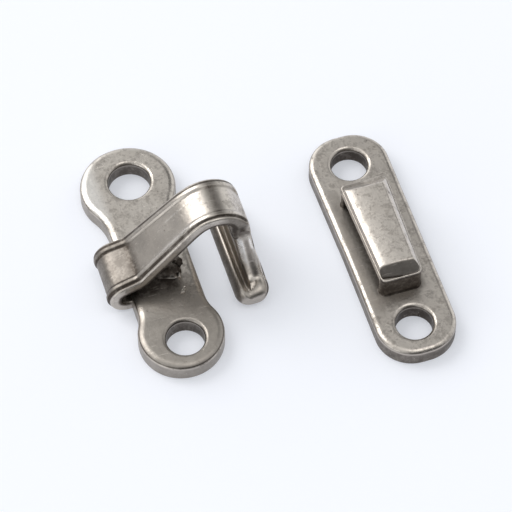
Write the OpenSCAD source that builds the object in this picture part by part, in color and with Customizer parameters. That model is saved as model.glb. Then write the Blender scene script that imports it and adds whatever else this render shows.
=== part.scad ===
// Hook and eye clasp: two loose castings that lie side by side.
// Millimetres. +X runs from the hook half to the eye half, +Y along both plates, +Z up.
// The origin is on the resting plane, at the middle of the pair.

/* [Plates] */
// Thickness of both plates
plate_t = 2.2; // [1.8:0.1:2.6]
// Edge break round every sewing hole
hole_break = 0.35; // [0.2:0.05:0.5]

/* [Hook plate] */
// Distance between the two hole centres
hook_hole_pitch = 21.3; // [20.5:0.1:22]
// Diameter of the hole in the large end
hook_large_hole_d = 4.85; // [4.2:0.05:5.4]
// Diameter of the hole in the small end
hook_small_hole_d = 4.35; // [3.8:0.05:4.8]
// Diameter of the large end
hook_large_end_d = 10.3; // [9.6:0.1:10.8]
// Diameter of the small end
hook_small_end_d = 9.4; // [8.6:0.1:9.6]
// Distance from the middle of the holes to the centre of the large end
hook_large_end_y = 10.2; // [10:0.1:10.7]
// Distance from the middle of the holes to the centre of the small end
hook_small_end_y = 9.75; // [9.6:0.1:10.2]
// Width of the waist between the ends
waist_w = 7.7; // [7:0.1:8.3]
// Radius of the hollow from the waist to the large end
large_neck_r = 6; // [4:0.5:8]
// Radius of the hollow from the waist to the small end
small_neck_r = 4; // [3:0.5:6]
// How far the outline stands to the left of the holes
hook_outline_shift = 0.2; // [0:0.05:0.4]

/* [Hook strap] */
// Height of the arch above the resting plane
hook_h = 12.5; // [11.5:0.1:13.5]
// Thickness of the bent strap
strap_t = 1.55; // [1.4:0.05:1.7]
// Width of the strap where it curls up from the plate
strap_w = 6.4; // [6:0.1:7]
// Width of the strap at the arch
arch_w = 5.4; // [5:0.1:6]
// Distance from the middle of the holes to the strap's centre line, towards the small end
strap_offset = 1.1; // [0.5:0.1:1.5]
// Width of the raised rim along each side of the strap
rim_w = 0.7; // [0.5:0.05:0.9]
// Depth of the face between the rims
rim_h = 0.15; // [0.1:0.05:0.3]
// Distance from the holes' line to the axis of the curl
curl_x = 4.45; // [4.3:0.05:4.7]
// Radius at the middle of the strap round the curl
curl_r = 1.5; // [1.4:0.05:1.6]
// Turn of the curl, from flat under the plate edge to the start of the rise
curl_turn = 165; // [160:1:170]
// Short straight between the curl and the sweep up
curl_top_l = 1.6; // [1.2:0.1:2]
// Radius at the middle of the strap where it sweeps up
sweep_r = 1.6; // [1.4:0.1:2]
// Turn of the sweep up
sweep_turn = 31; // [28:1:34]
// Radius at the middle of the strap round the arch
arch_r = 3.15; // [3.1:0.05:3.6]

/* [Hook leg and lip] */
// Lean of the leg away from the plate
leg_lean = 7; // [6:1:11]
// Radius at the middle of the strap round the lip
lip_r = 1.05; // [0.9:0.05:1.2]
// Straight rise of the lip's tip after its bend
lip_tip_l = 0.35; // [0.2:0.05:0.6]
// Length of the lip
lip_l = 13.8; // [13:0.1:14.6]
// Radius of the lip's rounded corners, seen from above
lip_corner_r = 1.5; // [1:0.1:1.7]
// Radius of the hollow flank that widens the leg to the lip
flank_r = 12.2; // [11:0.2:14]
// Height at which the leg starts to widen
flank_top = 9.3; // [8.8:0.1:9.8]

/* [Hook lug] */
// Length of the low lug on the plate under the strap
lug_l = 2.8; // [2:0.1:3.2]
// Width of the lug
lug_w = 2; // [1.6:0.1:2.4]
// Height of the lug above the plate
lug_h = 0.8; // [0.5:0.1:1]
// Radius of the lug's upright corners
lug_corner_r = 0.5; // [0.3:0.1:0.7]
// Turn of the lug on the plate
lug_turn = -24; // [-30:1:0]
// Distance of the lug's middle from the holes' line, towards the leg
lug_x = 0.7; // [0:0.1:1]
// Distance of the lug's middle from the strap's centre line, towards the small end
lug_y = 1; // [0:0.1:1.4]

/* [Eye] */
// Length of the eye plate
eye_l = 29.4; // [28.8:0.1:30.2]
// Width of the eye plate
eye_w = 8.6; // [8.2:0.1:9]
// Corner radius of the eye plate
eye_corner_r = 4; // [3.6:0.1:4.1]
// Distance between the two hole centres
eye_hole_pitch = 21.7; // [21.3:0.1:22]
// Diameter of both holes
eye_hole_d = 4.25; // [3.9:0.05:4.5]
// Length of the bar
bar_l = 13.3; // [12.9:0.1:13.7]
// Width of the bar
bar_w = 4.85; // [4.6:0.05:5.1]
// Distance from the middle of the holes to the bar's middle, towards the near end
bar_offset = 0.2; // [0:0.05:0.4]
// Height of the tunnel under the bar
tunnel_h = 2.2; // [2:0.1:2.5]
// Length of the tunnel between the bar's two legs
tunnel_l = 11.2; // [10.9:0.1:11.6]
// Thickness of the bar's ledge
ledge_t = 0.75; // [0.7:0.05:1.2]
// Width of the ledge round the crown
ledge_w = 0.45; // [0.3:0.05:0.6]
// Height of the crown above the ledge
crown_h = 1.35; // [0.9:0.05:1.4]
// Corner radius of the bar, seen from above
bar_corner_r = 0.7; // [0.5:0.05:0.9]

/* [Pair] */
// Distance across from the hook's holes to the eye's holes
pair_pitch = 24; // [23:0.1:26]
// How far the eye half lies nearer than the hook half
pair_stagger = 5.55; // [4:0.05:7]

/* [Hidden] */
$fn = 96;
// Cutters pass the faces that they open by this much
past = 1;

// Reach of the hook half to the left and to its far end, from the middle of its holes
hook_left = curl_x + curl_r + strap_t / 2;
hook_far = hook_large_end_y + hook_large_end_d / 2;
// Places of the two halves, which put the origin in the middle of the pair
hook_at = [(hook_left - pair_pitch - eye_w / 2) / 2, (pair_stagger + eye_l / 2 - hook_far) / 2, 0];
eye_at = hook_at + [pair_pitch, -pair_stagger, 0];

// Heights of the strap's middle where its bends start and end, and the straights between them
lip_outer_r = lip_r + strap_t / 2;
arch_z = hook_h - arch_r - strap_t / 2;
rise_turn = 180 - curl_turn + sweep_turn;
sweep_start_z = strap_t / 2 + curl_r * (1 - cos(curl_turn)) + curl_top_l * sin(curl_turn);
sweep_end_z = sweep_start_z + sweep_r * (-cos(curl_turn) - cos(rise_turn));
rise_l = (arch_z + arch_r * cos(rise_turn) - sweep_end_z) / sin(rise_turn);
leg_l = (arch_z - lip_outer_r + (arch_r - lip_r) * sin(leg_lean)) / cos(leg_lean);

// Place along X of the axis that the lip bends round
rise_x = -curl_x - curl_r * sin(curl_turn) - curl_top_l * cos(curl_turn)
    + sweep_r * (sin(rise_turn) - sin(curl_turn));
arch_x = rise_x + rise_l * cos(rise_turn) + arch_r * sin(rise_turn);
lip_x = arch_x + (arch_r - lip_r) * cos(leg_lean) + leg_l * sin(leg_lean);

// The bent strap from inside the plate to the lip's tip: a straight, then the bend after it
LENGTH = 0;
RADIUS = 1;
TURN = 2;
root_x = -waist_w / 4;
strap_runs = [
    [curl_x + root_x, curl_r, curl_turn],
    [curl_top_l, sweep_r, -sweep_turn],
    [rise_l, arch_r, rise_turn + 90 - leg_lean],
    [leg_l, lip_r, 180 + leg_lean],
    [lip_tip_l, 0, 0]
];
// Turn between two neighbouring points round a bend
bend_step = 6;

// A station is a point of the strap's middle line, seen from the near side, and its heading
X = 0;
Z = 1;
HEADING = 2;
// Unit vector to the side that the strap's inner face is on
function inwards(heading) = [sin(heading), -cos(heading)];
// Station reached by a straight of this length
function ahead(at, l) = [at[X] + l * cos(at[HEADING]), at[Z] + l * sin(at[HEADING]), at[HEADING]];
// Station reached round a bend, whose turn is positive towards the inner face
function round_bend(at, r, turn) =
    let (step = sign(turn) * r * (inwards(at[HEADING]) - inwards(at[HEADING] - turn)))
    [at[X] + step[X], at[Z] + step[Z], at[HEADING] - turn];
// Station where a run starts
function run_start(i) = i == 0
    ? [root_x, strap_t / 2, 180]
    : round_bend(run_straight_end(i - 1), strap_runs[i - 1][RADIUS], strap_runs[i - 1][TURN]);
function run_straight_end(i) = ahead(run_start(i), strap_runs[i][LENGTH]);
stations = concat(
    [run_start(0)],
    [
        for (i = [0 : len(strap_runs) - 1])
            let (end = run_straight_end(i), steps = ceil(abs(strap_runs[i][TURN]) / bend_step))
            for (k = [0 : steps])
                round_bend(end, strap_runs[i][RADIUS], strap_runs[i][TURN] * k / max(steps, 1))
    ]
);
// Points along the strap at a distance inwards from its middle line
function strap_line(d) = [for (at = stations) [at[X], at[Z]] + d * inwards(at[HEADING])];
function reversed(points) = [for (i = [len(points) - 1 : -1 : 0]) points[i]];

// Block that stands on the resting plane, with its upright corners rounded
module rounded_block(w, l, h, r) {
    translate([-w / 2 + r, -l / 2, 0])
        cube([w - 2 * r, l, h]);
    translate([-w / 2, -l / 2 + r, 0])
        cube([w, l - 2 * r, h]);
    for (x = [-1, 1], y = [-1, 1])
        translate([x * (w / 2 - r), y * (l / 2 - r), 0])
            cylinder(r = r, h = h);
}

// Round hole through a plate, with the edge broken at both ends
module hole(d) {
    translate([0, 0, -past])
        cylinder(d = d, h = plate_t + 2 * past);
    for (end = [0, 1])
        translate([0, 0, end * plate_t])
            mirror([0, 0, end])
                cylinder(d1 = d + 2 * hole_break, d2 = d, h = hole_break);
}

// Pair of wedges that lead the waist into a round end, hollowed to meet both
module neck(end_d, end_y, r) {
    half_w = waist_w / 2;
    reach = end_d / 2 + r;
    hollow_y = end_y - sqrt(pow(reach, 2) - pow(half_w + r, 2));
    touch = [half_w + r, hollow_y - end_y] * end_d / 2 / reach + [0, end_y];
    for (side = [0, 1])
        mirror([side, 0, 0])
            difference() {
                linear_extrude(plate_t)
                    polygon([[0, hollow_y], [half_w, hollow_y], touch, [0, end_y]]);
                translate([half_w + r, hollow_y, -past])
                    cylinder(r = r, h = plate_t + 2 * past);
            }
}

// Plate of the hook half: two round ends of unlike size on a narrower waist
module hook_plate() {
    difference() {
        translate([-hook_outline_shift, 0, 0]) {
            translate([0, hook_large_end_y, 0])
                cylinder(d = hook_large_end_d, h = plate_t);
            translate([0, -hook_small_end_y, 0])
                cylinder(d = hook_small_end_d, h = plate_t);
            translate([-waist_w / 2, -hook_small_end_y, 0])
                cube([waist_w, hook_small_end_y + hook_large_end_y, plate_t]);
            neck(hook_large_end_d, hook_large_end_y, large_neck_r);
            mirror([0, 1, 0])
                neck(hook_small_end_d, hook_small_end_y, small_neck_r);
        }
        translate([0, hook_hole_pitch / 2, 0])
            hole(hook_large_hole_d);
        translate([0, -hook_hole_pitch / 2, 0])
            hole(hook_small_hole_d);
    }
}

// Stretch of the bent strap between two distances inwards from its middle line
module strap_layer(w, outer, inner) {
    rotate([90, 0, 0])
        linear_extrude(w, center = true)
            polygon(concat(strap_line(outer), reversed(strap_line(inner))));
}

// Whole strap, with a raised rim along each side of its outer face
module strap(w) {
    difference() {
        strap_layer(w, -strap_t / 2, strap_t / 2);
        strap_layer(arch_w - 2 * rim_w, -strap_t, rim_h - strap_t / 2);
    }
}

// Strap from the plate to the lip, drawn in from the curl's width to the arch's
module band() {
    intersection() {
        strap(strap_w);
        linear_extrude(2 * hook_h, center = true)
            for (side = [0, 1])
                mirror([0, side])
                    polygon([
                        [-hook_left - past, 0],
                        [-hook_left - past, strap_w / 2],
                        [-curl_x, strap_w / 2],
                        [arch_x, arch_w / 2],
                        [lip_x + 2 * lip_outer_r, arch_w / 2],
                        [lip_x + 2 * lip_outer_r, 0]
                    ]);
    }
}

// Leg and lip, whose hollow flanks widen the strap to the lip's length
module leg() {
    intersection() {
        strap(lip_l + past);
        translate([lip_x, 0, -past])
            rounded_block(2 * lip_outer_r, lip_l, flank_top + past, lip_corner_r);
        difference() {
            translate([lip_x - 2 * lip_outer_r, -lip_l, -past])
                cube([4 * lip_outer_r, 2 * lip_l, flank_top + past]);
            for (side = [-1, 1])
                translate([lip_x - 3 * lip_outer_r, side * (arch_w / 2 + flank_r), flank_top])
                    rotate([0, 90, 0])
                        cylinder(r = flank_r, h = 6 * lip_outer_r);
        }
    }
}

// Hook half in one casting: plate, strap, leg, lip and the lug under the strap
module hook() {
    color("darkgray")
        translate(hook_at) {
            hook_plate();
            translate([0, -strap_offset, 0]) {
                band();
                leg();
                translate([lug_x, -lug_y, 0])
                    rotate([0, 0, lug_turn])
                        rounded_block(lug_l, lug_w, plate_t + lug_h, lug_corner_r);
            }
        }
}

// Bar of the eye half: a crowned block that bridges a tunnel on two legs
module bar() {
    difference() {
        rounded_block(bar_w, bar_l, plate_t + tunnel_h + ledge_t, bar_corner_r);
        translate([-bar_w, -tunnel_l / 2, plate_t])
            cube([2 * bar_w, tunnel_l, tunnel_h]);
    }
    translate([0, 0, plate_t + tunnel_h])
        rounded_block(bar_w - 2 * ledge_w, bar_l - 2 * ledge_w, ledge_t + crown_h, bar_corner_r);
}

// Eye half in one casting: plate and bar
module eye() {
    color("silver")
        translate(eye_at) {
            difference() {
                rounded_block(eye_w, eye_l, plate_t, eye_corner_r);
                for (side = [-1, 1])
                    translate([0, side * eye_hole_pitch / 2, 0])
                        hole(eye_hole_d);
            }
            translate([0, -bar_offset, 0])
                bar();
        }
}

hook();
eye();
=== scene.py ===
import bmesh
import bpy
import numpy as np
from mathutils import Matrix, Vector


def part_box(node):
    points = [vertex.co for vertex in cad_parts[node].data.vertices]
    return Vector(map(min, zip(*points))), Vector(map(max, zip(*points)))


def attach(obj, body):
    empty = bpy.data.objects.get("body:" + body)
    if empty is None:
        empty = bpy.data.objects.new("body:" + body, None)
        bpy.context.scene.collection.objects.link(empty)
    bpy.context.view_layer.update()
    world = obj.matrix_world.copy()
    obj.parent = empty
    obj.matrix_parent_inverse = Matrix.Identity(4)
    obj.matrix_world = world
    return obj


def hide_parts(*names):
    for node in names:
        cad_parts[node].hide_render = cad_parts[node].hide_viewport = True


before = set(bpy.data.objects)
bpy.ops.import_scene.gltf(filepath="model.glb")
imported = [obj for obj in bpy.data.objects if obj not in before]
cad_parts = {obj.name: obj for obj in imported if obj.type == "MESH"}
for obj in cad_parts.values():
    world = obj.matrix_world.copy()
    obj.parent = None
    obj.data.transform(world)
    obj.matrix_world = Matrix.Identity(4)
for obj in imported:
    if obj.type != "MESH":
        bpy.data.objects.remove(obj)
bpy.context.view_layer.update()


# Hook plate
# A flat die-cast tab of nickel-plated zinc with a large and a small round end and a
# sewing hole in each. The casting has a pillowed top edge, broken hole rims and a
# rougher side wall, and its antique finish was rubbed back so that dark patina stays low.
# Painted shade darkens the plate under the strap and, with the patina, the foot of its wall,
# and a painted highlight brightens the far disc's left edge.
MM = 0.001
HOOK_MIDDLE_FROM_LEFT = 6.725
HOOK_MIDDLE_FROM_FAR = 15.35
hook_low, hook_high = (np.array(corner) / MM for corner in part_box("hook"))
HOOK_X = hook_low[0] + HOOK_MIDDLE_FROM_LEFT
HOOK_Y = hook_high[1] - HOOK_MIDDLE_FROM_FAR
PLATE_T = 2.2
BASE_R = 0.14
ROLL_FOOT = 1.9
WAIST = 7.7
FAR_END = dict(radius=5.24, reach=10.22, neck=6.0)
NEAR_END = dict(radius=4.7, reach=9.75, neck=4.0)
OUTLINE_SHIFT = 0.2
LEFT_BULGE = 0.17
HOLE_REACH = 10.65
FAR_HOLE_R = 2.34
NEAR_HOLE_R = 2.1


def smooth_step(value, low, high):
    """0 below low, 1 above high, and 3t^2 - 2t^3 between."""
    t = np.clip((value - low) / (high - low), 0, 1)
    return t * t * (3 - 2 * t)


def fade_out(value, low, high):
    """1 below low and 0 above high: a smooth step downwards."""
    return smooth_step(-value, -high, -low)


def band(value, start, full, fading, end):
    """0 outside start to end, and 1 from full to fading: a step up times a step down."""
    return smooth_step(value, start, full) * fade_out(value, fading, end)


def ridge(value, middle, width, power=2):
    """exp(-((value - middle) / width)^power), which is 1 at the middle and fades both ways."""
    return np.exp(-(((value - middle) / width) ** power))


def arc(centre, radius, start, end, count):
    """Points of an arc: centre + radius * (cos a, sin a), for a from start to end in degrees."""
    a = np.radians(np.linspace(start, end, count))
    return np.array(centre) + radius * np.column_stack([np.cos(a), np.sin(a)])


def even(points, count):
    """Points spread evenly by length along a line of points."""
    length = np.r_[0, np.cumsum(np.linalg.norm(np.diff(points, axis=0), axis=1))]
    at = np.linspace(0, length[-1], count)
    return np.column_stack([np.interp(at, length, points[:, i]) for i in (0, 1)])


def necked_end(radius, reach, neck, half_waist):
    """Outline of one end, from the waist on the right round to the waist on the left.

    A circle at (0, reach) meets each straight waist side through a hollow arc that is
    tangent to both, centred at half_waist + neck from the middle line.
    """
    hollow_x = half_waist + neck
    hollow_y = reach - np.sqrt((radius + neck) ** 2 - hollow_x**2)
    touch = np.degrees(np.arctan2(reach - hollow_y, -hollow_x))
    right = arc((hollow_x, hollow_y), neck, 180, touch, 400)
    end = arc((0, reach), radius, touch - 180, 360 - touch, 1600)
    left = right[::-1] * (-1, 1)
    return np.vstack([[half_waist, 0], right, end[1:-1], left, [-half_waist, 0]])


def fuller_left(outline, bulge):
    """The outline with its far left part pushed out by the bulge, fading to 0 at the waist."""
    x, y = outline.T
    return np.column_stack([x - bulge * smooth_step(-x, -1, 2) * smooth_step(y, 3, 9), y])


def rolled_edge(lengths, slopes, count=26):
    """Profile of an edge that rolls over from flat to upright.

    The slope runs through the given degrees over the given lengths. The inset left to the
    wall and the drop are running sums of its cosine and sine.
    """
    at = np.linspace(0, sum(lengths), count)
    slope = np.radians(np.interp(at, np.r_[0, np.cumsum(lengths)], slopes))
    middle = (slope[1:] + slope[:-1]) / 2
    run = np.r_[0, np.cumsum(np.cos(middle))] * at[1]
    drop = np.r_[0, np.cumsum(np.sin(middle))] * at[1]
    return run[-1] - run, drop


def plate_end(outline, hole, hole_r, thick, edge, rim, columns=300, cut_columns=70):
    """Half of a plate, as a closed section carried round its hole.

    Column k of the grid starts on the hole's rim at the bearing of outline point k, mixes
    in proportion to the inset outline, rolls down the edge to the base, goes back under
    the plate to the hole and climbs its wall. Columns on the cut between the two halves
    leave their edge out, so that the halves can be welded there.
    """
    points = even(outline, columns)
    along = np.gradient(points, axis=0)
    along /= np.linalg.norm(along, axis=1)[:, None]
    out = np.column_stack([along[:, 1], -along[:, 0]])
    across_cut = np.linspace(0, 1, cut_columns + 2)[1:-1, None]
    sides = []

    def ring(depth):
        """Outline moved in by depth, closed by a straight row of points along the cut."""
        line = points - depth * out
        return np.vstack([line, line[-1] * (1 - across_cut) + line[0] * across_cut])

    def add(spots, height):
        """One more row of points, all at one height."""
        sides.append(np.column_stack([spots, np.full(len(spots), height)]))

    inset, drop = edge
    rim_inset, rim_drop = rim
    top, low = ring(inset[0]), ring(BASE_R)
    bearing = top - hole
    bearing /= np.linalg.norm(bearing, axis=1)[:, None]
    rim_top = hole + bearing * (hole_r + rim_inset[0])
    rim_low = hole + bearing * (hole_r + BASE_R)
    base_turns = np.radians([30, 60, 90])

    for mix in np.linspace(0, 1, 9)[:-1]:
        add(rim_top * (1 - mix) + top * mix, thick)
    edge_from = len(sides)
    for depth, fall in zip(inset, drop):
        add(ring(depth), thick - fall)
    for height in np.linspace(thick - drop[-1], BASE_R, 9)[1:]:
        add(ring(0), height)
    for a in base_turns:
        add(ring(BASE_R * (1 - np.cos(a))), BASE_R * (1 - np.sin(a)))
    edge_to = len(sides) - 1
    for mix in np.linspace(0, 1, 5)[1:]:
        add(low * (1 - mix) + rim_low * mix, 0)
    for a in base_turns:
        add(hole + bearing * (hole_r + BASE_R * (1 - np.sin(a))), BASE_R * (1 - np.cos(a)))
    for height in np.linspace(BASE_R, thick - rim_drop[-1], 7)[1:-1]:
        add(hole + bearing * hole_r, height)
    for depth, fall in zip(rim_inset[:0:-1], rim_drop[:0:-1]):
        add(hole + bearing * (hole_r + depth), thick - fall)

    grid = np.array(sides).transpose(1, 0, 2)
    k, s = np.meshgrid(np.arange(grid.shape[0]), np.arange(grid.shape[1]), indexing="ij")
    kept = ~((k >= columns - 1) & (s >= edge_from) & (s < edge_to))
    return grid.reshape(-1, 3), wrapped_faces(*grid.shape[:2], True)[kept.ravel()].tolist()


def wrapped_faces(rows, columns, closed_rows):
    """Quads of a grid whose columns wrap round, and whose rows do too if closed_rows."""
    row_steps = rows if closed_rows else rows - 1
    r, c = np.meshgrid(np.arange(row_steps), np.arange(columns), indexing="ij")
    r, c = r.ravel(), c.ravel()
    r1, c1 = (r + 1) % rows, (c + 1) % columns
    return np.column_stack([r * columns + c, r * columns + c1, r1 * columns + c1, r1 * columns + c])


def mirrored(points, faces):
    """The same shell seen in a mirror across its own X axis, still facing outwards."""
    return points * (1, -1, 1), [face[::-1] for face in faces]


def cast_mesh(name, shells, place, finish, patina):
    """Welds closed shells in millimetres into one smooth mesh in metres at its place.

    The patina function takes the points in millimetres, and gives each a number from 1,
    fully dark with patina and painted shade, to -1, fully bright with wear and painted
    highlights.
    """
    weld = 2e-7
    points = np.vstack([p for p, f in shells]) + place
    starts = np.cumsum([0] + [len(p) for p, f in shells[:-1]])
    faces = [
        [int(start) + corner for corner in face]
        for (p, f), start in zip(shells, starts)
        for face in f
    ]
    mesh = bpy.data.meshes.new(name)
    mesh.from_pydata((points * MM).tolist(), [], faces)
    # The patina attribute carries patina and painted shade, and below 0 wear and painted
    # highlights.
    layer = mesh.attributes.new("patina", "FLOAT", "POINT")
    layer.data.foreach_set("value", np.clip(patina(points), -1, 1).astype(np.float32))
    shape = bmesh.new()
    shape.from_mesh(mesh)
    bmesh.ops.remove_doubles(shape, verts=shape.verts, dist=weld)
    bmesh.ops.delete(shape, geom=[v for v in shape.verts if not v.link_faces], context="VERTS")
    bmesh.ops.recalc_face_normals(shape, faces=shape.faces)
    shape.to_mesh(mesh)
    shape.free()
    mesh.polygons.foreach_set("use_smooth", np.ones(len(mesh.polygons), bool))
    piece = bpy.data.objects.new(name, mesh)
    bpy.context.scene.collection.objects.link(piece)
    mesh.materials.append(finish)
    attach(piece, "root")
    return piece


def antique_nickel(name, light, dark, mottle, rough, offset):
    """Rubbed antique nickel: bright metal over a brown patina that stays in pits and hollows.

    Broad, middle and fine noise on Object coordinates mix the two colours together with the
    piece's patina attribute, which holds patina and painted shade, and also drive the roughness
    and a shallow bump. Where the attribute is below 0, the metal is made bright instead, for
    wear and for painted highlights. A noise's scale is its number of cells in a metre, so 950
    gives blotches of about 1 mm.
    """
    material = bpy.data.materials.new(name)
    material.use_nodes = True
    tree = material.node_tree
    shader = tree.nodes["Principled BSDF"]
    shader.inputs["Metallic"].default_value = 1.0

    def node(kind, **values):
        """A new node with its sockets or settings filled in by name."""
        made = tree.nodes.new(kind)
        for key, value in values.items():
            if key in made.inputs:
                made.inputs[key].default_value = value
            else:
                setattr(made, key, value)
        return made

    def noise(scale, detail, stretch=(1, 1, 1), turn=0.0, roughness=0.55):
        """Noise on Object coordinates, turned about the vertical and stretched."""
        place = node("ShaderNodeMapping", Location=offset, Rotation=(0, 0, turn), Scale=stretch)
        made = node("ShaderNodeTexNoise", Scale=scale, Detail=detail, Roughness=roughness)
        tree.links.new(at, place.inputs["Vector"])
        tree.links.new(place.outputs["Vector"], made.inputs["Vector"])
        return made.outputs["Fac"]

    def math(operation, a, b, clamp=False):
        """One sum, product or other operation on sockets or numbers."""
        made = node("ShaderNodeMath", operation=operation, use_clamp=clamp)
        for socket, value in zip(made.inputs, (a, b)):
            if isinstance(value, (int, float)):
                socket.default_value = value
            else:
                tree.links.new(value, socket)
        return made.outputs[0]

    def spread(value, low, high, to_low=0.0, to_high=1.0):
        """Smooth step of a value between low and high, from to_low to to_high."""
        made = node("ShaderNodeMapRange", interpolation_type="SMOOTHSTEP")
        limits = {"From Min": low, "From Max": high, "To Min": to_low, "To Max": to_high}
        for key, number in limits.items():
            made.inputs[key].default_value = number
        tree.links.new(value, made.inputs["Value"])
        return made.outputs["Result"]

    at = node("ShaderNodeTexCoord").outputs["Object"]
    cloud = noise(280, 4)
    blotch = noise(950, 5, roughness=0.62)
    grain = noise(3600, 3)
    pits = spread(noise(2300, 2), 0.66, 0.76)
    hairline = (1, 16, 4)
    scratches = math(
        "MAXIMUM",
        spread(noise(420, 2, stretch=hairline, turn=0.9), 0.68, 0.74),
        spread(noise(420, 2, stretch=hairline, turn=-0.5), 0.70, 0.76),
    )
    # The patina attribute holds patina and painted shade, and below 0 wear and painted highlights.
    patina = node("ShaderNodeAttribute", attribute_name="patina").outputs["Fac"]

    ground = math("ADD", math("MULTIPLY", blotch, 0.6), math("MULTIPLY", grain, 0.4))
    patina_and_shade = math("MULTIPLY", patina, spread(ground, 0.34, 0.62, 0.86, 1.1))
    darkening = math("MULTIPLY", spread(ground, 0.46, 0.62), mottle)
    darkening = math("ADD", darkening, math("MULTIPLY", spread(cloud, 0.5, 0.72), mottle * 0.6))
    darkening = math("ADD", darkening, math("MULTIPLY", pits, 0.4))
    # The attribute's patina and painted shade join the random stain here.
    darkening = math("MAXIMUM", darkening, patina_and_shade)
    darkening = math("SUBTRACT", darkening, math("MULTIPLY", scratches, 0.3), clamp=True)
    mixed = node("ShaderNodeMix", data_type="RGBA")
    mixed.inputs["A"].default_value = (*light, 1)
    mixed.inputs["B"].default_value = (*dark, 1)
    tree.links.new(darkening, mixed.inputs["Factor"])

    # Below 0 the attribute mixes in a near-white colour, for wear and for painted highlights.
    painted_highlight_and_wear = math("MULTIPLY", patina, -1.0, clamp=True)
    highlight_and_wear_mix = node("ShaderNodeMix", data_type="RGBA")
    highlight_and_wear_mix.inputs["B"].default_value = (0.96, 0.94, 0.91, 1)
    tree.links.new(mixed.outputs["Result"], highlight_and_wear_mix.inputs["A"])
    tree.links.new(painted_highlight_and_wear, highlight_and_wear_mix.inputs["Factor"])
    tree.links.new(highlight_and_wear_mix.outputs["Result"], shader.inputs["Base Color"])

    bare_rough = spread(cloud, 0.35, 0.7, rough - 0.03, rough + 0.05)
    tree.links.new(
        math("ADD", bare_rough, math("MULTIPLY", darkening, 0.2)), shader.inputs["Roughness"]
    )

    relief = math("ADD", cloud, math("MULTIPLY", blotch, 0.5))
    relief = math("ADD", relief, math("MULTIPLY", grain, 0.26))
    relief = math("SUBTRACT", relief, math("MULTIPLY", pits, 0.16))
    relief = math("SUBTRACT", relief, math("MULTIPLY", scratches, 0.16))
    bump = node("ShaderNodeBump", Strength=0.38, Distance=0.00012)
    tree.links.new(relief, bump.inputs["Height"])
    tree.links.new(bump.outputs["Normal"], shader.inputs["Normal"])
    return material


hook_metal = antique_nickel(
    "hook_antique_nickel",
    light=(0.60, 0.552, 0.499),
    # dark patina colour, which also paints shade
    dark=(0.075, 0.062, 0.052),
    mottle=0.4,
    rough=0.29,
    offset=(0.013, 0.004, 0.021),
)
hook_edge = rolled_edge((0.3, 0.45, 0.38), (0, 16, 42, 90))
hole_rim = rolled_edge((0.12, 0.26, 0.26), (0, 20, 48, 88), 18)
hook_hole = np.array([OUTLINE_SHIFT, HOLE_REACH])
far_half = plate_end(
    fuller_left(necked_end(half_waist=WAIST / 2, **FAR_END), LEFT_BULGE),
    hook_hole, FAR_HOLE_R, PLATE_T, hook_edge, hole_rim,
)
near_half = mirrored(*plate_end(
    necked_end(half_waist=WAIST / 2, **NEAR_END),
    hook_hole, NEAR_HOLE_R, PLATE_T, hook_edge, hole_rim,
))


def edge_patina_and_shade(z, wall):
    """Darkening of a plate's side: a thin painted dark reflection line under the bright roll, then
    the wall, with patina and painted shade.
    """
    line = 0.55 * ridge(z, ROLL_FOOT + 0.01, 0.07)
    return np.maximum(line, wall * fade_out(z, ROLL_FOOT - 0.3, ROLL_FOOT)) * (z > 0.01)


def bore_patina(from_hole, hole_r):
    """Patina on a hole's wall, by the distance from the hole's middle."""
    return 0.35 * fade_out(from_hole, hole_r + 0.02, hole_r + 0.1)


def hook_plate_patina_and_light(p):
    """Painted shade under the strap, patina on the near disc and in the holes, and patina and
    painted shade low on the wall.

    The far disc's left edge has a painted highlight.
    """
    x, y, z = (p - (HOOK_X, HOOK_Y, 0)).T
    # painted shade where the strap shades the plate
    painted_shade_under = fade_out(x, 1.0, 2.3) * band(y, -7.0, -3.6, 1.0, 2.5)
    near_disc = 0.45 * smooth_step(-y, 5.0, 8.0)
    # painted highlight along the far disc's left edge
    painted_left_highlight = 0.5 * smooth_step(-x, 2.8, 4.3) * smooth_step(y, 5.0, 7.0)
    top = np.where(z > ROLL_FOOT, np.maximum(painted_shade_under, near_disc) - painted_left_highlight, 0)
    bores = bore_patina(np.hypot(x, y - HOLE_REACH), FAR_HOLE_R)
    bores = bores + bore_patina(np.hypot(x, y + HOLE_REACH), NEAR_HOLE_R)
    return top + edge_patina_and_shade(z, 0.5) + bores


hook_plate = cast_mesh(
    "hook_plate", [far_half, near_half], (HOOK_X - OUTLINE_SHIFT, HOOK_Y, 0),
    hook_metal, hook_plate_patina_and_light,
)
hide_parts("hook")


# Hook strap
# The tongue of the hook: one strip that leaves the plate's side, curls back over it, rises
# to an arch and drops down a leg to the folded lip. Its outer face is let in between two
# rims, and it grows thicker down the leg and ends hidden inside the lip.
STRAP_T = 1.55
STRAP_START_X = -1.92
# Each run is a straight's length, and the radius and degrees of the bend that it ends in
STRAP_RUNS = [(2.525, 1.5, 165), (1.6, 1.6, -31), (7.663, 8, 12), (0, 3.05, 117), (2.7, 1, 0)]
STRAP_STEP = 0.1
BEND_SOFTENED_OVER = 0.5
STRAP_Y = -1.1
CURL_HALF_W = 3.2
ARCH_HALF_W = 2.7
RIM_H = 0.17
STRAP_TIP_L = 1.2
STRAP_ROOT_L = 1.2


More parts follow.
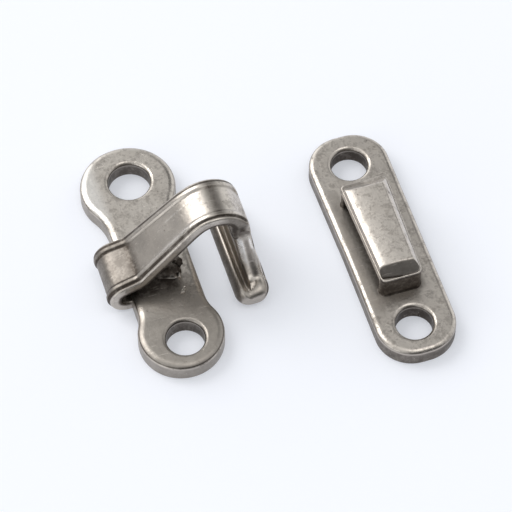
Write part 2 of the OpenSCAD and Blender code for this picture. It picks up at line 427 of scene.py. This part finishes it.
def bent_line(runs, start, heading, step, soften):
    """Middle line of a bent strip, from straights that each end in a bend.

    The curvature is 0 along a straight and 1 / radius round a bend, and is averaged over a
    short stretch. The heading is its running sum, and the place the running sum of the
    heading's cosine and sine. Returns places, headings, lengths and the length at each run.
    """
    ends, bend = [0.0], [0.0]
    for length, radius, turn in runs:
        ends += [ends[-1] + length, ends[-1] + length + radius * np.radians(abs(turn))]
        bend += [0.0, -np.sign(turn) / radius]
    ends, bend = np.array(ends), np.array(bend)
    at = np.arange(0, ends[-1] + step / 2, step / 4)
    curvature = bend[np.clip(np.searchsorted(ends, at, "left"), 0, len(ends) - 1)]
    width = max(1, int(soften / (at[1] - at[0])) | 1)
    padded = np.pad(curvature, width // 2, mode="edge")
    curvature = np.convolve(padded, np.ones(width) / width, "valid")
    turn_so_far = np.r_[0, np.cumsum((curvature[1:] + curvature[:-1]) / 2 * at[1])]
    headings = np.radians(heading) + turn_so_far
    middle = (headings[1:] + headings[:-1]) / 2
    place = np.column_stack([
        start[0] + np.r_[0, np.cumsum(np.cos(middle) * at[1])],
        start[1] + np.r_[0, np.cumsum(np.sin(middle) * at[1])],
    ])
    return place[::4], headings[::4], at[::4], ends


def section_walk(face, side, corner):
    """Walk round a rounded rectangle: across and up in -1..1, and the corner's bearing.

    The point at (across, up, bearing) is (across * (half width - radius) + radius * cos,
    up * (half thickness - radius) + radius * sin), so one walk serves every section.
    """
    spread_face = np.sin(np.linspace(-90, 90, face) * np.pi / 180)
    spread_side = np.linspace(1, -1, side)
    bearings = np.linspace(90, 0, corner)[1:-1]
    right = [(a, 1, 90) for a in spread_face] + [(1, 1, b) for b in bearings]
    right += [(1, a, 0) for a in spread_side] + [(1, -1, b - 90) for b in bearings]
    walk = np.array(right)
    return np.vstack([walk, walk * (-1, -1, 1) + (0, 0, 180)])


def capped(grid):
    """Points and faces of a tube grid whose two ends close in a middle point each."""
    rows, columns = grid.shape[:2]
    faces = wrapped_faces(rows, columns, False)
    poles = np.array([grid[0].mean(0), grid[-1].mean(0)])
    c = np.arange(columns)
    after = (c + 1) % columns
    first_pole, last_pole = rows * columns, rows * columns + 1
    last_row = (rows - 1) * columns
    foot = np.column_stack([np.full(columns, first_pole), after, c])
    head = np.column_stack([np.full(columns, last_pole), last_row + c, last_row + after])
    return np.vstack([grid.reshape(-1, 3), poles]), faces.tolist() + foot.tolist() + head.tolist()


def strap_surface():
    """The strap as sections carried along its middle line, and its own lines of patina, painted
    shade and wear.

    Each section is a rounded rectangle of the strap's width and thickness there, with its
    outer face let in between the rims. Past the arch it grows thicker inwards and a little
    narrower, and its end draws in to a point inside the lip.
    """
    place, heading, at, ends = bent_line(
        STRAP_RUNS, (STRAP_START_X, STRAP_T / 2), 180, STRAP_STEP, BEND_SOFTENED_OVER
    )
    curl_end, arch_start, arch_end = ends[2], ends[6], ends[8]
    taper = np.clip((at - curl_end) / (arch_start - curl_end), 0, 1)
    half = CURL_HALF_W + (ARCH_HALF_W - CURL_HALF_W) * taper
    half = half - 0.3 * smooth_step(at, arch_end - 1.3, arch_end + 0.5)
    into_tip = np.clip(at - at[-1] + STRAP_TIP_L, 0, None) / STRAP_TIP_L
    closing = 0.4 + 0.6 * np.sqrt(np.clip(1 - into_tip**2, 0.01, 1))
    swell = 0.5 * smooth_step(at, arch_end - 2.6, arch_end + 0.6)
    thick = (STRAP_T + swell) * closing - 0.35 * np.clip(1 - at / STRAP_ROOT_L, 0, 1)
    half = half * closing

    walk = section_walk(60, 12, 13)
    across, up, bearing = walk.T[:, None, :]
    bearing = np.radians(bearing)
    half, thick, swell = (value[:, None] for value in (half, thick, swell))
    radius = np.minimum(np.where(across > 0, 0.32, 0.24), thick / 2 * 0.98)
    w = across * (half - radius) + radius * np.cos(bearing)
    h = up * (thick / 2 - radius) + radius * np.sin(bearing)

    from_side = half - np.abs(w)
    near = w < 0
    on_face = up > 0.99
    upper = np.clip(2 * h / thick, 0, 1)
    fade = fade_out(at, arch_end - 1, arch_end)[:, None]
    let_in = RIM_H * smooth_step(from_side, 0.85, 1.2) * fade
    step = np.where(near, 0.19, 0.08) * fade_out(from_side, 0.28, 0.58)
    step = step + 0.07 * near * np.clip(1 - from_side, 0, 1) ** 2

    # painted dark reflection in the rounded corner along each rim
    line = 0.9 * band(from_side, 0.2, 0.3, 0.48, 0.6) * (upper > 0.7)
    line = line + 0.3 * band(from_side, 0.9, 1.0, 1.15, 1.3) * on_face
    # painted shade on the strap's underside
    inner = 0.8 * smooth_step(-up, 0.3, 0.95) * smooth_step(at, 1.8, 2.6)[:, None]
    tongue = band(at, curl_end + 1.0, curl_end + 2.5, arch_start - 1.2, arch_start + 1.0)[:, None]
    rise = 0.32 * tongue * smooth_step(from_side, 0.8, 1.15)
    rim = 0.25 * tongue * near * band(from_side, 0.55, 0.7, 0.8, 1.0) * on_face
    scratch = 0.7 * ridge(w, 0.75, 0.1) * ridge(at, 16.4, 2.0, 4)[:, None] * on_face
    line = np.maximum(line * fade + inner, rise) - rim - scratch

    h = h - np.where(on_face, let_in, 0) - swell / 2 - step * upper * fade
    x = place[:, :1] - np.sin(heading)[:, None] * h
    z = place[:, 1:] + np.cos(heading)[:, None] * h
    return np.stack([x, w, z], axis=2), line


strap_grid, strap_lines_patina_and_shade = strap_surface()


def strap_patina_and_shade(p):
    """Patina on the curl; patina and a painted dark reflection on the arch's crest; painted shade
    on the two sides, on the near side past the arch and in the dimple.

    The lines of patina, painted shade and wear that follow the rims come with the strap's own
    grid, and are added.
    """
    x, y, z = (p - (HOOK_X, HOOK_Y + STRAP_Y, 0)).T
    off_middle = np.abs(y)
    # painted shade on the strap's sides
    side = 0.18 * smooth_step(off_middle, 2.55, 2.75)
    bend = 0.55 * smooth_step(-x, 2.2, 3.4) + 0.15 * smooth_step(-x, -1.0, 1.0)
    bend = bend * fade_out(off_middle, 2.8, 3.1)
    # partly patina, partly a painted dark reflection across the arch's crest
    crest = 0.72 * ridge(x, 6.35, 0.75) * (z > 11) * fade_out(off_middle, 2.0, 2.4)
    # painted shade on the near side past the arch
    neck_side_shade = 0.5 * smooth_step(x, 6.0, 7.4) * smooth_step(-y, 2.35, 2.55)
    # painted shade in the dimple where the leg meets the strap
    dimple = ridge(x, 8.7, 0.55) * ridge(z, 8.5, 0.8) * smooth_step(-y, 1.8, 2.2)
    return side + bend + crest + neck_side_shade + dimple + np.r_[strap_lines_patina_and_shade.ravel(), 0, 0]


cast_mesh(
    "hook_strap", [capped(strap_grid)], (HOOK_X, HOOK_Y + STRAP_Y, 0),
    hook_metal, strap_patina_and_shade,
)


# Hook lip
# The folded end of the strap that catches under the eye's bar. The strip was upset thicker
# here and folded up on itself, so that it has broad hollow flanks, a shallow fold behind
# the tip's ridge, and a solid rounded thumb at each end.
LIP_HALF_L = 6.9
FLANK_FROM_Y = 2.5
FLANK_FROM_Z = 8.0
FLANK_R = 8.0
FLANK_END = 42
THUMB_FILLET = 0.8
SHOULDER_R = 0.55
THUMB_FROM = 5.45
ROLL_TOP = 1.75
THUMB_CORE_X = 8.8
THUMB_CORE_Z = 1.0


def spline_loop(corners, count):
    """Closed cubic B-spline round corner points, sampled evenly between them.

    Each sample blends its four nearest corners with the weights (1 - u)^3, 3u^3 - 6u^2 + 4,
    -3u^3 + 3u^2 + 3u + 1 and u^3, all over 6, where u runs from 0 to 1 between two corners.
    """
    total = corners.shape[1]
    t = np.linspace(0, total, count, endpoint=False)
    first = t.astype(int)
    u = t - first
    weights = ((1 - u) ** 3, 3 * u**3 - 6 * u**2 + 4, -3 * u**3 + 3 * u**2 + 3 * u + 1, u**3)
    return sum(w[:, None] / 6 * corners[:, (first + k) % total] for k, w in enumerate(weights, -1))


def leg_inner_x(z):
    """Inner face of the leg at a height: a straight line that leans out as it goes down."""
    return 7.56 + 0.165 * (8.0 - z)


def flank_line():
    """Top line of half the lip: its y, its height and its slope's turn from level.

    Inside the leg it is level at the shoulder's height. A quarter arc brings it down to the
    start of the hollow flank, a circle that starts upright there, and a fillet then turns
    the flank level along the thumb.
    """
    turn = np.radians(np.arange(0, FLANK_END + 0.4, 0.9))
    y = FLANK_FROM_Y + FLANK_R * (1 - np.cos(turn))
    top = FLANK_FROM_Z - FLANK_R * np.sin(turn)
    foot = np.radians(np.linspace(FLANK_END, 90, 12)[1:])
    y = np.r_[y, y[-1] + THUMB_FILLET * (np.cos(turn[-1]) - np.cos(foot))]
    top = np.r_[top, top[-1] - THUMB_FILLET * (np.sin(foot) - np.sin(turn[-1]))]
    shoulder = np.radians(np.linspace(85, 6, 14))
    inside = np.linspace(0, FLANK_FROM_Y - SHOULDER_R, 8, endpoint=False)
    level = np.full(len(inside), FLANK_FROM_Z + SHOULDER_R)
    y = np.r_[inside, FLANK_FROM_Y - SHOULDER_R * (1 - np.cos(shoulder)), y]
    top = np.r_[level, FLANK_FROM_Z + SHOULDER_R * np.sin(shoulder), top]
    return y, top, np.r_[np.full(len(inside), np.pi / 2), shoulder, turn, foot]


def lip_surface():
    """The lip as closed sections carried along Y, from the near thumb to the far one.

    A section goes over the top of the leg, down its outer face, round the roll, up the tip
    and through the fold. Its rounded corners are set in square to the flank, and the
    sections of a thumb shrink towards its core as a dome does.
    """
    y, top, turn = flank_line()
    dome = np.radians(np.linspace(-10, 88, 34))
    thumb_y = THUMB_FROM + (LIP_HALF_L - THUMB_FROM) * np.sin(dome)
    start = y[-1] + 0.03
    stretch = (thumb_y[-1] - start) / (thumb_y[-1] - thumb_y[0])
    thumb_y = start + (thumb_y - thumb_y[0]) * stretch
    y, top = np.r_[y, thumb_y], np.r_[top, np.full(len(thumb_y), top[-1])]
    turn = np.r_[turn, np.full(len(thumb_y), np.pi / 2)]

    flare = 0.2 * smooth_step(y, 2.6, 4.0)
    fold = 1 - 0.93 * smooth_step(y, 4.6, 6.6)
    corners = []

    def outer_x(z):
        """Outer face at a height: it leans out, and flares beyond the neck."""
        return 9.56 + 0.1228 * (8.5 - z) + 0.02 * fade_out(z, 7.0, 8.2) + flare

    def add(x, z, deep=0.0):
        """One more corner of every section, moved in by deep, square to the top line."""
        spots = (x, y - deep * np.cos(turn), z - deep * np.sin(turn))
        corners.append(np.stack(np.broadcast_arrays(*spots), 1))

    inner, outer = leg_inner_x(top), outer_x(top)
    bevel = np.clip((y - FLANK_FROM_Y + 0.3) / np.cos(np.minimum(turn, 1.2)), 0.25, 0.85)
    for run, deep, fold_deep in (
        (0.02, 0.06, 0.6), (0.15, 0.03, 0.45), (0.58, 0, 0.14), (1.0, -0.03, 0), (1.4, 0.02, 0),
    ):
        add(inner + run, top, deep + fold_deep * fold)
    for back, deep in ((0.42, 0.19), (0.09, 0.5), (0, 1)):
        add(outer - back * bevel, top, deep * bevel)
    for share in (0.75, 0.5, 0.25, 0.0):
        z = ROLL_TOP + (top - 0.9 - ROLL_TOP) * share
        add(outer_x(z), z)
    for back, z in ((0.05, 1.05), (0.45, 0.3), (1.2, 0.0)):
        add(outer_x(ROLL_TOP) - back, z)
    for x, z in (
        (8.75, 0.0), (7.7, 0.0), (7.05, 0.42), (6.78, 1.0), (6.9, 1.55), (7.16, 2.05), (7.4, 2.42),
    ):
        add(x, z)
    for x, z, fold_deep in (
        (7.62, 2.46, 0.05), (7.76, 2.36, 0.16), (7.98, 2.28, 0.5), (8.26, 2.26, 0.9),
    ):
        add(x, z - fold_deep * fold)
    for share in (0.1, 0.35, 0.62, 0.85):
        folded = ROLL_TOP + 0.3 + (top - 0.55 - ROLL_TOP) * share
        z = folded * fold + (top - 0.06) * (1 - fold)
        add(leg_inner_x(z), z)
    sections = spline_loop(np.stack(corners, 1), 260)

    shrink = np.cos(np.clip(dome, 0, None)) ** 0.8
    shrink = np.r_[np.ones(len(y) - len(shrink)), shrink][:, None]
    x = THUMB_CORE_X + (sections[..., 0] - THUMB_CORE_X) * (0.25 + 0.75 * shrink)
    z = THUMB_CORE_Z + (sections[..., 2] - THUMB_CORE_Z) * (0.12 + 0.88 * shrink)
    half = np.stack([x, -sections[..., 1], z], axis=2)
    return np.concatenate([half[::-1], (half * (1, -1, 1))[1:]])


def lip_patina_and_light(p):
    """Patina and painted shade in the fold; painted shade on the leg's inner face, the tip's
    outer side and the neck; the thumbs darkened to dull their highlights; and a painted dark
    reflection in the near flank's hollow.

    Two painted highlights run down the near flank.
    """
    x, y, z = (p - (HOOK_X, HOOK_Y + STRAP_Y, 0)).T
    from_leg = x - leg_inner_x(z)
    # patina and painted shade in the fold
    fold = 0.5 * band(x, 7.65, 8.15, 8.4, 8.75) * (z < 3.4) * fade_out(np.abs(y), 5.4, 6.5)
    # painted shade on the leg's inner face
    inner = 0.38 * fade_out(from_leg, 0.05, 0.3) * (z > 2.2)
    # painted shade on the tip's outer side
    tip = 0.75 * fade_out(x, 7.2, 7.45) * smooth_step(z, 0.4, 1.2)
    # thumbs darkened to dull their highlights
    thumb = 0.3 * smooth_step(np.abs(y), 4.9, 5.4)
    # painted shade on the neck, stronger on the near side
    neck = (0.18 + 0.57 * (y < 0)) * smooth_step(z, 6.7, 8.0)
    flank = fade_out(z, 6.3, 7.7) * smooth_step(-y, 1.6, 2.0)
    stripe = 0.38 + 0.075 * (z - 3.5)
    # painted dark reflection in the middle of the near flank
    hollow = 0.6 * flank * ridge(from_leg, stripe + 0.66, 0.3, 4) * smooth_step(z, 3.0, 3.4)
    # two painted highlights down the near flank
    painted_highlight_and_wear = smooth_step(z, 3.2, 4.2) * ridge(from_leg, stripe, 0.3, 4)
    painted_highlight_and_wear = painted_highlight_and_wear + 0.8 * smooth_step(z, 3.1, 3.7) * ridge(from_leg, 1.68, 0.12)
    painted_highlight_and_wear = painted_highlight_and_wear * flank
    return np.maximum.reduce([fold, inner, tip, thumb, neck, hollow]) * (1 - painted_highlight_and_wear) - painted_highlight_and_wear


cast_mesh(
    "hook_lip", [capped(lip_surface())], (HOOK_X, HOOK_Y + STRAP_Y, 0),
    hook_metal, lip_patina_and_light,
)


# Hook lug
# A low stop cast on the plate under the strap, left rough from the die, with a knob and a
# torn burr at its right end, and a flake of the same flash nearer the near hole. Where it
# lies under the strap it is painted dark as shade.
SKIRT_H = 0.16
LUG_MOUNDS = [  # half length, half width, height, ripple, turn in degrees, place
    (1.35, 0.9, 0.64, 0.05, -24, (0.5, -1.95)),
    (0.45, 0.55, 0.38, 0.1, 20, (2.0, -1.2)),
    (0.32, 0.15, 0.42, 0.12, 70, (1.66, -3.05)),
    (0.4, 0.16, 0.12, 0.15, 50, (1.55, -4.95)),
]


def lumpy_mound(half_x, half_y, height, ripple, foot):
    """Mound on the plate: rings that climb from a skirt to a blunt top.

    The outline is a superellipse of power 3, times 1 plus two sines of its bearing. The ring
    at share c of the outline stands (1 - c^2)^(1/2) of the way from the skirt to the top,
    and a shallow wave across the mound dents the rings above 0.2.
    """
    bearing = np.radians(np.linspace(0, 360, 120, endpoint=False))
    out = (np.abs(np.cos(bearing)) ** 3 + np.abs(np.sin(bearing)) ** 3) ** (-1 / 3)
    out = out * (1 + ripple * np.sin(3 * bearing + 1.0) + 0.6 * ripple * np.sin(7 * bearing + 2.0))
    climb = np.radians(np.linspace(0, 86, 20))
    share = np.r_[1.22, 1.2, 1.12, 1.06, np.cos(climb)][:, None]
    level = np.r_[-0.3, -0.02, 0.02, 0.09, SKIRT_H + (height - SKIRT_H) * np.sin(climb)][:, None]
    x = share * half_x * out * np.cos(bearing)
    y = share * half_y * out * np.sin(bearing)
    dent = 1 + 0.12 * np.sin(2.6 * x + 1.2) * np.cos(3.4 * y)
    z = foot + np.where(level > 0.2, level, 0) * dent + np.where(level > 0.2, 0, level)
    return np.stack([x, y, z], axis=2)


def turned(grid, degrees, at):
    """The grid turned about the vertical and moved to a place on the plate."""
    a = np.radians(degrees)
    x, y, z = np.moveaxis(grid, -1, 0)
    x, y = x * np.cos(a) - y * np.sin(a) + at[0], x * np.sin(a) + y * np.cos(a) + at[1]
    return np.stack([x, y, z], axis=-1)


def lug_painted_shade(p):
    """Painted shade all over the lug under the strap, but not on the flake that lies in the open.
    """
    return 0.97 * smooth_step(p[:, 1] - HOOK_Y, -3.2, -2.8)


lug_shells = [
    capped(turned(lumpy_mound(*mound, PLATE_T), degrees, at))
    for *mound, degrees, at in LUG_MOUNDS
]
cast_mesh("hook_lug", lug_shells, (HOOK_X, HOOK_Y, 0), hook_metal, lug_painted_shade)


# Eye plate
# The mate of the hook: a flat cast tab with full round corners, the same pillowed top edge
# and a sewing hole at each end. It is a little uneven, as cast: its right edge stands out
# further than its left one, and its far end is fuller on the left.
eye_low, eye_high = (np.array(corner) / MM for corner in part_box("eye"))
EYE_X, EYE_Y = ((eye_low + eye_high) / 2)[:2]
EYE_RIGHT = 4.6
EYE_LEFT = 4.3
EYE_FAR = 14.9
EYE_NEAR = 14.7
EYE_CORNER_R = 4.0
EYE_LEFT_BULGE = 0.2
EYE_HOLE_REACH = 10.85
EYE_HOLE_R = 2.04

eye_metal = antique_nickel(
    "eye_antique_nickel",
    light=(0.60, 0.55, 0.497),
    # dark patina colour, which also paints shade
    dark=(0.075, 0.062, 0.052),
    mottle=0.4,
    rough=0.3,
    offset=(0.041, 0.017, 0.003),
)


def round_end(right, left, reach, corner):
    """Outline of one end of the plate: a straight side, two quarter arcs and a straight side."""
    return np.vstack([
        [right, 0],
        arc((right - corner, reach - corner), corner, 0, 90, 800),
        arc((corner - left, reach - corner), corner, 90, 180, 800),
        [-left, 0],
    ])


eye_edge = rolled_edge((0.16, 0.34, 0.38), (0, 14, 42, 90))
eye_hole = np.array([0, EYE_HOLE_REACH])
eye_far = plate_end(
    fuller_left(round_end(EYE_RIGHT, EYE_LEFT, EYE_FAR, EYE_CORNER_R), EYE_LEFT_BULGE),
    eye_hole, EYE_HOLE_R, PLATE_T, eye_edge, hole_rim,
)
eye_near = mirrored(*plate_end(
    round_end(EYE_RIGHT, EYE_LEFT, EYE_NEAR, EYE_CORNER_R),
    eye_hole, EYE_HOLE_R, PLATE_T, eye_edge, hole_rim,
))


def eye_plate_patina_and_shade(p):
    """Painted shade in the tunnel, patina and painted shade on a strip along its left, patina in
    the holes, and patina and painted shade low on the wall.
    """
    x, y, z = (p - (EYE_X, EYE_Y, 0)).T
    # painted shade in the tunnel under the bar
    painted_shade_under = 0.8 * fade_out(np.abs(x), 2.2, 3.2) * fade_out(np.abs(y + 0.3), 6.2, 7.2)
    # patina and painted shade on the plate along the bar's left
    strip = 0.42 * band(-x, 2.2, 2.6, 3.6, 3.95) * fade_out(np.abs(y + 0.6), 7.5, 9.5)
    bores = bore_patina(np.hypot(x, np.abs(y) - EYE_HOLE_REACH), EYE_HOLE_R)
    return np.maximum(painted_shade_under, strip) * (z > 2.0) + edge_patina_and_shade(z, 0.8) + bores


eye_plate = cast_mesh(
    "eye_plate", [eye_far, eye_near], (EYE_X, EYE_Y, 0),
    eye_metal, eye_plate_patina_and_shade,
)
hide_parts("eye")


# Eye bar
# The bar that the hook catches: a thin flange on two feet, cast in one with the plate, and
# on it a lopsided crown that rolls away broadly to the left and ends in two long slopes.
BAR_W = 5.2
BAR_L = 13.3
BAR_CORNER_R = 0.75
FOOT_T = 1.05
TUNNEL_TOP = 4.4
LEDGE_TOP = 5.15
CROWN_TOP = 6.5
CROWN_RAMP = 46
LEFT_LEDGE = 0.13
RIGHT_LEDGE = 0.3
BAR_Y = -0.2
BAR_SET_OVER = 0.03


def bar_width(y):
    """Share of its width that the bar has at a place along it."""
    return 0.971 + 0.0102 * y


def drawn_in(grid):
    """The grid narrowed steadily from its far end to its near one, and set over to the left."""
    x, y, z = np.moveaxis(grid, -1, 0)
    return np.stack([x * bar_width(y) - BAR_SET_OVER, y, z], axis=-1)


def stacked(levels, corner_share, count=240):
    """Block as a stack of rounded loops, from (half x, half y, corner radius, height, middle y).

    A loop is four quarter arcs round the corners' middles, joined and spread evenly. Each
    corner takes its own share of the radius: far right, far left, near left, near right.
    """
    corners = list(zip((0, 90, 180, 270), (1, -1, -1, 1), (1, 1, -1, -1), corner_share))
    rows = []
    for half_x, half_y, radius, height, middle in levels:
        quarters = [
            arc((sx * (half_x - share * radius), sy * (half_y - share * radius)),
                share * radius, start, start + 90, 30)
            for start, sx, sy, share in corners
        ]
        loop = even(np.vstack(quarters + [quarters[0][:1]]), count + 1)[:-1]
        rows.append(np.column_stack([loop + (0, middle), np.full(count, height)]))
    return np.array(rows)


def flange_surface():
    """The flange: a plate with a small arc round its lower edge and a fuller one round its top."""
    lower_r, upper_r, top_corner_r = 0.1, 0.16, 0.66
    turn = np.radians(np.linspace(0, 90, 9))

    def level(inset, height, corner_r=BAR_CORNER_R):
        """One loop of the stack, drawn in from the flange's full size."""
        return BAR_W / 2 - inset, BAR_L / 2 - inset, corner_r, height, 0

    levels = [
        level(lower_r * (1 - np.sin(t)), TUNNEL_TOP + lower_r * (1 - np.cos(t))) for t in turn
    ]
    levels += [
        level(upper_r * (1 - np.cos(t)), LEDGE_TOP - upper_r * (1 - np.sin(t))) for t in turn
    ]
    levels += [level(inset, LEDGE_TOP, top_corner_r) for inset in (0.2, 0.26, 0.32, 0.4, 0.8)]
    return stacked(levels, (1, 0.65, 0.9, 1))


def foot_surface():
    """One foot: stacked rounded loops with a fillet on the plate and one under the flange.

    The upper fillet grows on the tunnel's side alone, so each loop's middle moves with it.
    """
    low_r, high_r, corner_r = 0.24, 0.5, 0.46
    turn = np.radians(np.linspace(0, 90, 9))
    half_w, half_t = BAR_W / 2 - 0.04, FOOT_T / 2
    at_y = 0.04 + FOOT_T / 2 - BAR_L / 2
    levels = []
    for t in turn:
        out = low_r * (1 - np.sin(t))
        height = PLATE_T - 0.03 + low_r * (1 - np.cos(t))
        levels.append((half_w + out, half_t + out, corner_r + out, height, at_y))
    for t in turn:
        out = high_r / 2 * (1 - np.cos(t))
        height = TUNNEL_TOP - 0.48 + high_r * np.sin(t)
        levels.append((half_w, half_t + out, corner_r, height, at_y + out))
    return stacked(levels, (0.45, 0.45, 1.45, 1.5))


def crown_surface():
    """The crown as sections across the bar, carried along it, and the near slope's painted shade.

    The height is the lesser of a lopsided profile across, which is the running sum of the
    tangent of its slope, and of a ramp at each end, with the crease between them softened.
    """
    half_w, half_l = (BAR_W - LEFT_LEDGE - RIGHT_LEDGE) / 2, BAR_L / 2 - 0.29
    middle = -0.16
    corner = 0.6
    crease = 0.15
    along = middle + half_l * np.sin(np.radians(np.linspace(-90, 90, 261)))
    from_end = half_l - np.abs(along - middle)
    beyond = np.clip(corner - from_end, 0, corner * 0.999)
    width = half_w - corner + np.sqrt(corner**2 - beyond**2)
    along, from_end, width = (value[:, None] for value in (along, from_end, width))
    across = np.sin(np.radians(np.linspace(-90, 90, 121)))
    fine = np.linspace(-half_w, half_w, 2001)
    slope = np.interp(
        fine,
        (-half_w, -2.35, -2.26, -2.14, -1.97, -1.5, -0.6, 0.6, 1.66, 1.76, 2.0, 2.22, half_w),
        (60, 44, 33, 24, 14, 8, 5, 2, 2, -34, -48, -62, -76),
    )
    profile = np.cumsum(np.tan(np.radians(slope))) * (fine[1] - fine[0])
    profile = profile - profile.max() + CROWN_TOP - LEDGE_TOP
    x = across * width
    side = np.interp(x, fine, profile)
    skew = 0.14 * x * (along < 0)
    ramp = np.maximum((from_end + skew) * np.tan(np.radians(CROWN_RAMP)) + 0.03, -0.15)
    soft = np.clip(crease - np.abs(side - ramp), 0, None)
    height = LEDGE_TOP + np.minimum(side, ramp) - soft**2 / (4 * crease)
    # painted shade on the near end's slope
    dark = 0.55 * smooth_step(side - ramp, -0.14, 0.1) * (along < 0)
    y = np.broadcast_to(along, x.shape)
    x = x + (LEFT_LEDGE - RIGHT_LEDGE) / 2
    over = np.stack([x, y, height], axis=2)
    base = np.full((len(along), 3), LEDGE_TOP - 0.2)
    under = np.stack([x[:, ::-1][:, ::60], y[:, ::60], base], axis=2)
    return np.concatenate([over, under], axis=1), np.concatenate([dark, base * 0], axis=1)


crown_grid, crown_near_slope_shade = crown_surface()


def bar_painted_shade(p):
    """Painted shade on the ends, under the flange, along its edges and in the groove on the left.

    The near slope's painted shade comes with the crown's own grid, which is the last of the shells.
    """
    x, y, z = (p - (EYE_X, EYE_Y + BAR_Y, 0)).T
    # painted shade on the bar's end faces
    ends = 0.95 * smooth_step(np.abs(y), 5.7, 6.3) * fade_out(z, 5.0, 5.1)
    # painted shade under the flange
    under = 0.85 * fade_out(z, 4.44, 4.56) * fade_out(np.abs(y), 6.1, 6.4)
    # painted shade in the groove left of the crown
    groove = 0.55 * fade_out(z, 5.2, 5.4) * (z > LEDGE_TOP - 0.005) * (x < 0)
    across = (x + BAR_SET_OVER) / bar_width(y)
    # painted shade that dims the flange's left roll
    left_roll_shade = 0.4 * smooth_step(-across, 2.38, 2.5) * (z > 4.7)
    # painted shadow along the flange's right edge
    right_edge_shadow = 0.85 * smooth_step(across, 2.47, 2.54) * fade_out(z, 5.05, 5.12)
    slope = np.zeros(len(p))
    slope[-2 - crown_near_slope_shade.size:-2] = crown_near_slope_shade.ravel()
    return ends + under + np.maximum.reduce([groove, left_roll_shade, right_edge_shadow]) + slope


near_foot = capped(foot_surface())
bar_shells = [capped(flange_surface()), near_foot, mirrored(*near_foot), capped(crown_grid)]
cast_mesh(
    "eye_bar", [(drawn_in(points), faces) for points, faces in bar_shells],
    (EYE_X, EYE_Y + BAR_Y, 0), eye_metal, bar_painted_shade,
)


# Floor, light and camera
# A matt pale board under soft studio light: one wide softbox at the far left, a weaker one
# overhead, and a pale room with brighter and darker patches for the metal to mirror.
FLOOR_HALF = 1.2
floor_mesh = bpy.data.meshes.new("floor")
floor_corners = FLOOR_HALF * np.array([(-1, -1, 0), (1, -1, 0), (1, 1, 0), (-1, 1, 0)])
floor_mesh.from_pydata(floor_corners.tolist(), [], [(0, 1, 2, 3)])
floor = bpy.data.objects.new("floor", floor_mesh)
bpy.context.scene.collection.objects.link(floor)
board = bpy.data.materials.new("pale_board")
board.use_nodes = True
board_sockets = board.node_tree.nodes["Principled BSDF"].inputs
board_sockets["Base Color"].default_value = (0.61, 0.62, 0.66, 1)
board_sockets["Roughness"].default_value = 0.9
board_sockets["Specular IOR Level"].default_value = 0.1
board_sockets["Emission Color"].default_value = (0.91, 0.94, 1.0, 1)
board_sockets["Emission Strength"].default_value = 0.35
floor_mesh.materials.append(board)


def softbox(name, towards, size, power):
    """Warm area light at a fixed distance in a direction from the pair, facing it."""
    distance = 1.6
    data = bpy.data.lights.new(name, "AREA")
    data.shape = "RECTANGLE"
    data.size, data.size_y = size
    data.energy = power
    data.color = (1.0, 0.985, 0.96)
    lamp = bpy.data.objects.new(name, data)
    way = np.array(towards, float) / np.linalg.norm(towards)
    lamp.location = way * distance
    lamp.rotation_mode = "QUATERNION"
    lamp.rotation_quaternion = Vector(way).to_track_quat("Z", "Y")
    bpy.context.scene.collection.objects.link(lamp)


softbox("left_softbox", (-0.56, 0.52, 0.645), (0.92, 1.28), 11.0)
softbox("top_softbox", (0.17, -0.2, 0.96), (0.8, 0.7), 2.4)


def studio_room(base, lobes):
    """World of one base brightness, each lobe of which pulls it to its own brightness.

    A lobe is full within an inner angle of its direction and gone past an outer one.
    """
    world = bpy.data.worlds.new("studio_room")
    bpy.context.scene.world = world
    world.use_nodes = True
    tree = world.node_tree
    facing = tree.nodes.new("ShaderNodeTexCoord").outputs["Generated"]
    level = None
    for direction, inner, outer, brightness in lobes:
        dot = tree.nodes.new("ShaderNodeVectorMath")
        dot.operation = "DOT_PRODUCT"
        dot.inputs[1].default_value = np.array(direction) / np.linalg.norm(direction)
        tree.links.new(facing, dot.inputs[0])
        near = tree.nodes.new("ShaderNodeMapRange")
        near.interpolation_type = "SMOOTHSTEP"
        near.inputs["From Min"].default_value = np.cos(np.radians(outer))
        near.inputs["From Max"].default_value = np.cos(np.radians(inner))
        tree.links.new(dot.outputs["Value"], near.inputs["Value"])
        pull = tree.nodes.new("ShaderNodeMix")
        pull.inputs["A"].default_value = base
        if level is not None:
            tree.links.new(level, pull.inputs["A"])
        pull.inputs["B"].default_value = brightness
        tree.links.new(near.outputs["Result"], pull.inputs["Factor"])
        level = pull.outputs["Result"]
    tree.links.new(level, tree.nodes["Background"].inputs["Strength"])
    tree.nodes["Background"].inputs["Color"].default_value = (0.97, 0.99, 1.0, 1)


studio_room(0.76, [  # direction, inner and outer angle in degrees, brightness
    ((0.9, 0.4, 0.08), 16, 36, 1.05),
    ((-0.3, 0.52, 0.8), 5, 14, 2.2),
    ((-0.86, -0.4, 0.16), 10, 26, 1.8),
    ((0.15, -1, 0.15), 30, 52, 0.05),
    ((0.46, 0.52, 0.71), 10, 19, 0.1),
    ((-0.95, 0.35, 0.05), 15, 32, 0.22),
    ((-0.2, 0.93, 0.31), 8, 22, 1.7),
])

CAMERA_DISTANCE = 0.3134
camera = bpy.data.objects.new("camera", bpy.data.cameras.new("camera"))
target = Vector((0.00002, 0.00067, 0))
back = Vector((-0.1669, -0.5177, 0.8392)).normalized()
camera.location = target + back * CAMERA_DISTANCE
camera.rotation_mode = "QUATERNION"
camera.rotation_quaternion = back.to_track_quat("Z", "Y")
camera.data.lens = 200.3
camera.data.sensor_width = 36
camera.data.clip_start = 0.01
bpy.context.scene.collection.objects.link(camera)
bpy.context.scene.camera = camera
bpy.context.scene.view_settings.view_transform = "Standard"
